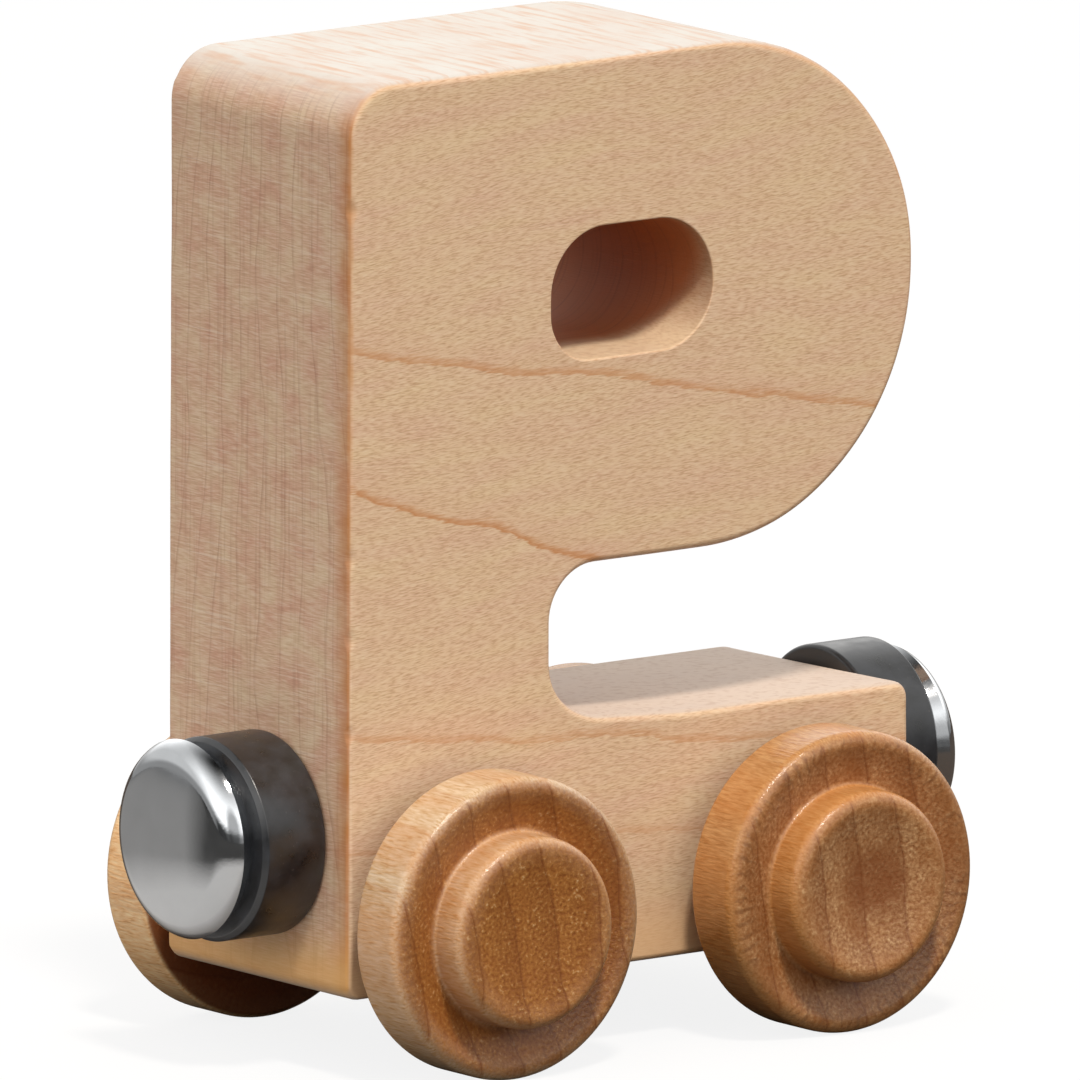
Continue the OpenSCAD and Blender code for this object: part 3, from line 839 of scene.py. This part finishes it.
wheel_finishes = {
    # node: finish, depth of the dish in the hub
    "front_left_wheel": (oiled_maple(
        "maple_oiled_front_left", ("#c9a374", "#e2caab"), ("#8c4f1a", "#c2843f"),
        -0.25, 0.0, 0.0, 0.2), 0.35 * MM),
    "front_right_wheel": (oiled_maple(
        "maple_oiled_front_right", ("#efb678", "#ffdeac"), ("#a4562a", "#d68c50"),
        1.4, 1.1, 0.2, 0.2), 0.4 * MM),
    "rear_left_wheel": (oiled_maple(
        "maple_oiled_rear_left", ("#b27a42", "#d1a069"), ("#986338", "#d1a170"),
        -0.2, 2.0, 0.7, 0.45), 0.7 * MM),
    "rear_right_wheel": (oiled_maple(
        "maple_oiled_rear_right", ("#cd945a", "#e6b980"), ("#8a4f1c", "#bd8142"),
        2.2, 0.6, 0.3, 0.3), 0.4 * MM)}
print(len(wheel_finishes), "wheel finishes")

# %% [markdown]
# Wheels, magnets and nails were all made on a lathe or are as round as if they were. A round
# piece is easiest to describe by half its section, with arcs where the tool rolled round an
# edge, and turned about its axis into a mesh.

# %% Lathe
TURNS = 144


def arc(centre, radius, start, end, count=10):
    """Points along an arc of a half section, between two angles in degrees."""
    angles = [math.radians(start + (end - start) * k / count) for k in range(count + 1)]
    return [(centre[0] + radius * math.cos(a), centre[1] + radius * math.sin(a)) for a in angles]


def lathe(name, section, material):
    """Turns a half section of (radius, height) points about Z. A section that starts on the axis
    closes there, and any other section closes on itself as a ring."""
    bm = bmesh.new()
    rows = []
    for radius, height in section:
        count = TURNS if radius > 1e-9 else 1
        angles = [2 * math.pi * k / TURNS for k in range(count)]
        rows.append([bm.verts.new((radius * math.cos(a), radius * math.sin(a), height))
                     for a in angles])
    pairs = list(zip(rows, rows[1:]))
    if len(rows[0]) > 1:
        pairs.append((rows[-1], rows[0]))
    for a, b in pairs:
        for k in range(TURNS):
            corners = [a[k % len(a)], a[(k + 1) % TURNS % len(a)],
                       b[(k + 1) % TURNS % len(b)], b[k % len(b)]]
            bm.faces.new(list(dict.fromkeys(corners)))
    return finish_piece(name, bm, material)


def stand(piece, origin, axis):
    """Puts a turned piece at a point of the car with its Z along an axis."""
    piece.location = origin
    piece.rotation_euler = Vector(axis).to_track_quat("Z", "Y").to_euler()


print("lathe ready with", TURNS, "turns")

# %% [markdown]
# A wheel has a tread, a rolled shoulder, a face that falls towards the foot of the hub, and a hub
# with a soft rim round a shallow dish. The dish was turned by eye and differs from wheel to
# wheel. A blind socket in the back takes the axle.

# %% Wheels
low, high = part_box("front_left_wheel")
wheel_r = (high.z - low.z) / 2
wheel_t = high.y - low.y
DISC_T = 4.3 * MM
SHOULDER_R = 0.8 * MM
FACE_FALL = math.radians(16)
BACK_R = 0.4 * MM
HUB_R = 6.1 * MM
HUB_EDGE_R = 0.8 * MM
COVE_R = 0.3 * MM
DISH_R = 5.2 * MM
SOCKET_R = 2.44 * MM
SOCKET_DEPTH = 4.0 * MM

shoulder = (wheel_r - SHOULDER_R, DISC_T - SHOULDER_R)
cove_x = HUB_R + COVE_R
cove = (cove_x, shoulder[1] + (SHOULDER_R + COVE_R - (shoulder[0] - cove_x) * math.sin(FACE_FALL))
        / math.cos(FACE_FALL))
fall = math.degrees(FACE_FALL)


def wheel_section(dish_depth):
    ball = (DISH_R ** 2 + dish_depth ** 2) / (2 * dish_depth)
    lip = math.degrees(math.asin(DISH_R / ball))
    return (
        [(0, SOCKET_DEPTH), (SOCKET_R, SOCKET_DEPTH), (SOCKET_R, 0)]
        + arc((wheel_r - BACK_R, BACK_R), BACK_R, -90, 0)
        + arc(shoulder, SHOULDER_R, 0, 90 + fall, 14)
        + arc(cove, COVE_R, -90 + fall, -180, 14)
        + arc((HUB_R - HUB_EDGE_R, wheel_t - HUB_EDGE_R), HUB_EDGE_R, 0, 90)
        + arc((0, wheel_t - dish_depth + ball), ball, -90 + lip, -90, 14)[:-1]
        + [(0, wheel_t - dish_depth)])


for node, (finish, dish_depth) in wheel_finishes.items():
    low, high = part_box(node)
    side = -1 if high.y < 0 else 1
    wheel = lathe("turned_" + node, wheel_section(dish_depth), finish)
    inner_y = max(low.y, -high.y) * side
    stand(wheel, ((low.x + high.x) / 2, inner_y, (low.z + high.z) / 2), (0, side, 0))
    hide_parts(node)
    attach(wheel, node.split("_")[0] + "_wheelset")
print("wheels of", round(2 * wheel_r / MM, 1), "mm with", len(wheel.data.polygons), "faces each")

# %% [markdown]
# The axles are plain birch dowels. They hardly show between the wheels and the block, so the
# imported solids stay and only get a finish: fine fibres along the dowel.

# %% Birch axles
def birch_dowel():
    material, tree, place, _ = new_finish("birch_dowel_bare")
    fibres = add(tree, "VectorMath", {0: place, 1: (0.2, 3.0, 0.2)}, operation="DIVIDE")
    fibre = add(tree, "TexNoise", {"Vector": fibres, "Scale": 1.0, "Detail": 3.0})
    colour = add(tree, "Mix", {0: fibre, 6: linear("#cda878"), 7: linear("#ecd3aa")}, out=2,
                 data_type="RGBA")
    relief = add(tree, "Bump", {"Height": fibre, "Strength": 0.3, "Distance": 0.03 * MM})
    surface = add(tree, "BsdfPrincipled", {
        "Base Color": colour, "Roughness": 0.6, "IOR": 1.5, "Normal": relief})
    add(tree, "OutputMaterial", {"Surface": surface}, out=None)
    return material


birch = birch_dowel()
for node in ("front_axle", "rear_axle"):
    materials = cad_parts[node].data.materials
    materials.clear()
    materials.append(birch)
print("axles finished in", birch.name)

# %% [markdown]
# The magnets are sintered ferrite rings: a dark grey ceramic, pressed and fired, with a satin
# skin and pale specks, partly faint brown dust and partly painted glints of tiny chips. The front
# edge is bevelled. The hole is wider than the nail, so a ring can hang a little aside of it.

# %% Ferrite ring magnets
def sintered_ferrite():
    material, tree, place, _ = new_finish("ferrite_sintered")
    clouds = add(tree, "VectorMath", {0: place, 1: (1.2, 1.2, 1.2)}, operation="DIVIDE")
    cloud = add(tree, "TexNoise", {"Vector": clouds, "Scale": 1.0, "Detail": 5.0})
    cloud = add(tree, "MapRange", {0: cloud, 1: 0.32, 2: 0.68, 3: 0.0, 4: 1.0})
    colour = add(tree, "Mix", {0: cloud, 6: linear("#0e1013"), 7: linear("#24272d")}, out=2,
                 data_type="RGBA")
    grains = add(tree, "VectorMath", {0: place, 1: (0.25, 0.25, 0.25)}, operation="DIVIDE")
    grain = add(tree, "TexNoise", {"Vector": grains, "Scale": 1.0, "Detail": 2.0})
    # pale specks: faint brown dust, and painted glints of tiny chips
    speck = add(tree, "MapRange", {0: grain, 1: 0.68, 2: 0.8, 3: 0.0, 4: 0.6})
    colour = add(tree, "Mix", {0: speck, 6: colour, 7: linear("#5c5654")}, out=2,
                 data_type="RGBA")
    satin = add(tree, "MapRange", {0: cloud, 1: 0.0, 2: 1.0, 3: 0.27, 4: 0.42})
    relief = add(tree, "Bump", {"Height": grain, "Strength": 0.15, "Distance": 0.02 * MM})
    surface = add(tree, "BsdfPrincipled", {
        "Base Color": colour, "Roughness": satin, "IOR": 1.8, "Normal": relief})
    add(tree, "OutputMaterial", {"Surface": surface}, out=None)
    return material


ferrite = sintered_ferrite()
low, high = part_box("front_magnet")
magnet_r = (high.z - low.z) / 2
magnet_t = high.x - low.x
MAGNET_BORE_R = 2.5 * MM
MAGNET_BEVEL = 0.3 * MM
MAGNET_BACK_R = 0.3 * MM
EDGE_WEAR_R = 0.12 * MM
wear = EDGE_WEAR_R * math.tan(math.radians(22.5))

magnet_section = (
    [(MAGNET_BORE_R, magnet_t), (MAGNET_BORE_R, 0)]
    + arc((magnet_r - MAGNET_BACK_R, MAGNET_BACK_R), MAGNET_BACK_R, -90, 0)
    + arc((magnet_r - EDGE_WEAR_R, magnet_t - MAGNET_BEVEL - wear), EDGE_WEAR_R, 0, 45, 4)
    + arc((magnet_r - MAGNET_BEVEL - wear, magnet_t - EDGE_WEAR_R), EDGE_WEAR_R, 45, 90, 4))
for node, end_x, out in (("front_magnet", front, -1), ("rear_magnet", rear, 1)):
    middle = sum(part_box(node), Vector()) / 2
    magnet = lathe("ring_" + node, magnet_section, ferrite)
    stand(magnet, (end_x, middle.y, middle.z), (out, 0, 0))
    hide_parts(node)
    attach(magnet, "car")
print("magnets of", round(2 * magnet_r / MM, 1), "mm")

# %% [markdown]
# A nail with a broad domed head holds each magnet. The head is pressed steel with bright nickel
# plating. Its rim rolls over and turns in behind, which leaves a dark gap before the magnet. The
# dome mirrors the room, and the plating shows faint pits where it was drawn tightest, towards
# the rim.

# %% Nickel-plated nails
def nickel_plate():
    material, tree, place, facing = new_finish("steel_nickel_plated")
    pits = add(tree, "VectorMath", {0: place, 1: (0.22, 0.22, 0.22)}, operation="DIVIDE")
    pit = add(tree, "TexNoise", {"Vector": pits, "Scale": 1.0, "Detail": 2.0})
    along = add(tree, "SeparateXYZ", {0: facing}, out=2)
    drawn = add(tree, "MapRange", {0: along, 1: 0.99, 2: 0.85, 3: 0.35, 4: 1.0})
    height = add(tree, "Math", {0: pit, 1: drawn}, operation="MULTIPLY")
    relief = add(tree, "Bump", {"Height": height, "Strength": 0.12, "Distance": 0.02 * MM})
    clouds = add(tree, "VectorMath", {0: place, 1: (1.8, 1.8, 1.8)}, operation="DIVIDE")
    cloud = add(tree, "TexNoise", {"Vector": clouds, "Scale": 1.0, "Detail": 3.0})
    haze = add(tree, "MapRange", {0: cloud, 1: 0.3, 2: 0.7, 3: 0.05, 4: 0.12})
    colour = add(tree, "Mix", {0: cloud, 6: linear("#ced1d4"), 7: linear("#dbdee2")}, out=2,
                 data_type="RGBA")
    surface = add(tree, "BsdfPrincipled", {
        "Base Color": colour, "Metallic": 1.0, "Roughness": haze, "Normal": relief})
    add(tree, "OutputMaterial", {"Surface": surface}, out=None)
    return material


nickel = nickel_plate()
low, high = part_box("front_nail")
cap_r = (high.z - low.z) / 2
crown_h = front - low.x
shank_l = high.x - front
SHANK_R = 1.5 * MM
POINT_L = 4.0 * MM
CAP_EDGE_R = 1.9 * MM
RIM_TURN = 20  # degrees
UNDERCUT = 0.5 * MM
DOME_R = 30.0 * MM

dome_h = crown_h - DOME_R
roll_r = cap_r - CAP_EDGE_R * math.cos(math.radians(RIM_TURN))
roll_h = dome_h + math.sqrt((DOME_R - CAP_EDGE_R) ** 2 - roll_r ** 2)
dome_lip = math.degrees(math.asin(roll_r / (DOME_R - CAP_EDGE_R)))
nail_section = (
    [(0, -shank_l), (SHANK_R, POINT_L - shank_l), (SHANK_R, magnet_t)]
    + [(cap_r - UNDERCUT, magnet_t)]
    + arc((roll_r, roll_h), CAP_EDGE_R, RIM_TURN, 90 - dome_lip)
    + arc((0, dome_h), DOME_R, 90 - dome_lip, 90, 24)[1:-1]
    + [(0, crown_h)])
for node, end_x, out in (("front_nail", front, -1), ("rear_nail", rear, 1)):
    middle = sum(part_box(node), Vector()) / 2
    nail = lathe("domed_" + node, nail_section, nickel)
    stand(nail, (end_x, middle.y, middle.z), (out, 0, 0))
    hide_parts(node)
    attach(nail, "car")
print("nail heads of", round(2 * cap_r / MM, 1), "mm, crown", round(crown_h / MM, 1), "mm out")

# %% [markdown]
# The car stands on a white light table, so the picture's ground is white and the shadows on it
# are faint. Only the camera sees that white. Reflections and bounced light see a dark brown board
# under the car, which keeps its hollows dark, and a grey card ahead of it and to its right. The
# card fills the mirror image in the nail head, and the dark beyond its edge draws a streak there.
# All this was set for the picture's side of the car.

# %% Floor
FLOOR_HALF = 20.0
CARD_START = (-22.0, -34.0)
CARD_REACH = (36.0, 62.0)
CARD_SIDE = (0.58, 0.7)
CARD_FOOT = 7.0
CARD_TONE = 0.5
BEYOND_TONES = (0.05, 0.25)
GLOW_SHARE = 0.86

floor_mesh = bpy.data.meshes.new("floor")
floor_mesh.from_pydata(
    [(-FLOOR_HALF, -FLOOR_HALF, 0), (FLOOR_HALF, -FLOOR_HALF, 0),
     (FLOOR_HALF, FLOOR_HALF, 0), (-FLOOR_HALF, FLOOR_HALF, 0)], [], [(0, 1, 2, 3)])
floor = bpy.data.objects.new("floor", floor_mesh)
bpy.context.scene.collection.objects.link(floor)
table, tree, place, _ = new_finish("light_table")
at = add(tree, "SeparateXYZ", {0: place}, out=None).outputs
nail_foot = (front / MM - CARD_FOOT, 0.0, 0.0)
ahead = add(tree, "VectorMath", {0: place, 1: nail_foot}, out=1, operation="DISTANCE")
heading = add(tree, "VectorMath", {0: place, 1: nail_foot}, operation="SUBTRACT")
heading = add(tree, "VectorMath", {0: heading}, operation="NORMALIZE")
to_right = add(tree, "SeparateXYZ", {0: heading}, out=1)
beside = add(tree, "MapRange", {0: to_right, 1: CARD_SIDE[0], 2: CARD_SIDE[1],
                                3: BEYOND_TONES[0], 4: BEYOND_TONES[1]})
card = add(tree, "MapRange", {0: ahead, 1: CARD_REACH[0], 2: CARD_REACH[1],
                              3: CARD_TONE, 4: beside})
on_card = add(tree, "MapRange", {0: at["X"], 1: CARD_START[0], 2: CARD_START[1], 3: 0.0, 4: 1.0})
grey = add(tree, "Mix", {0: on_card, 6: linear("#524a44"), 7: card}, out=2, data_type="RGBA")
sheet = add(tree, "BsdfDiffuse", {"Color": grey})
white = add(tree, "BsdfDiffuse", {"Color": linear("#f6f6f5")})
glow = add(tree, "Emission", {"Color": linear("#ffffff"), "Strength": 1.0})
lit = add(tree, "MixShader", {0: GLOW_SHARE, 1: white, 2: glow})
seen = add(tree, "LightPath")
add(tree, "OutputMaterial", {"Surface": add(tree, "MixShader", {0: seen, 1: sheet, 2: lit})},
    out=None)
floor_mesh.materials.append(table)
print("floor of", 2 * FLOOR_HALF, "m")

# %% [markdown]
# One small softbox stands high in front and a little to the left, so the bowl throws a clear
# shadow on the deck. The rest is a plain room: bright from low walls up to the ceiling, darker
# overhead and in two corners, front right and back left. A dark skirting ahead of the car and a
# dark doorway behind the picture's camera show as dark streaks in the nail head and the magnet.
# They stay put in the room when the view changes. The camera itself sees a white backdrop behind
# the table.

# %% Light
DIM_CORNERS = (
    # direction, cosine at which it starts and ends to dim, light left
    ((-0.59, -0.78, 0.20), 0.90, 0.96, 0.35),
    ((0.71, -0.71, 0.0), 0.65, 0.90, 0.45),
    ((-0.50, 0.87, 0.0), 0.60, 0.85, 0.45),
)

world = bpy.data.worlds.new("studio")
bpy.context.scene.world = world
world.use_nodes = True
tree = world.node_tree
tree.nodes.clear()
way = add(tree, "TexCoord", out=None).outputs["Generated"]
aim_at = add(tree, "SeparateXYZ", {0: way}, out=None).outputs
skirting = add(tree, "MapRange", {0: aim_at["X"], 1: -0.95, 2: -0.6, 3: 0.05, 4: 0.3})
skirting = add(tree, "MapRange", {0: aim_at["Y"], 1: 0.1, 2: 0.5, 3: skirting, 4: 0.8})
walls = add(tree, "MapRange", {0: aim_at["Z"], 1: 0.08, 2: 0.24, 3: skirting, 4: 1.75},
            interpolation_type="SMOOTHSTEP")
overhead = add(tree, "MapRange", {0: aim_at["Z"], 1: 0.5, 2: 1.0, 3: 1.0, 4: 0.0})
dimmers = [overhead]
for corner, start, end, dim in DIM_CORNERS:
    towards = add(tree, "VectorMath", {0: way, 1: corner}, out=1, operation="DOT_PRODUCT")
    dimmers.append(add(tree, "MapRange", {0: towards, 1: start, 2: end, 3: 1.0, 4: dim}))
room_light = walls
for share in dimmers:
    room_light = add(tree, "Math", {0: room_light, 1: share}, operation="MULTIPLY")
room = add(tree, "Background", {"Color": linear("#fbfaf8"), "Strength": room_light})
backdrop = add(tree, "Background", {"Color": linear("#ffffff"), "Strength": 1.0})
seen = add(tree, "LightPath")
add(tree, "OutputWorld", {"Surface": add(tree, "MixShader", {0: seen, 1: room, 2: backdrop})},
    out=None)

LIGHT_TRAVEL = Vector((0.2, 0.51, -1.0)).normalized()
LIGHT_DISTANCE = 1.5
LIGHT_SIZE = 0.22
LIGHT_POWER = 14.0
key_data = bpy.data.lights.new("softbox", "AREA")
key_data.shape = "DISK"
key_data.size = LIGHT_SIZE
key_data.energy = LIGHT_POWER
key_data.color = linear("#fff6ec")[:3]
key = bpy.data.objects.new("softbox", key_data)
key.location = -LIGHT_DISTANCE * LIGHT_TRAVEL
key.rotation_euler = (-LIGHT_TRAVEL).to_track_quat("Z", "Y").to_euler()
bpy.context.scene.collection.objects.link(key)
bpy.context.scene.view_settings.view_transform = "Standard"
print("softbox at", [round(c, 2) for c in key.location])
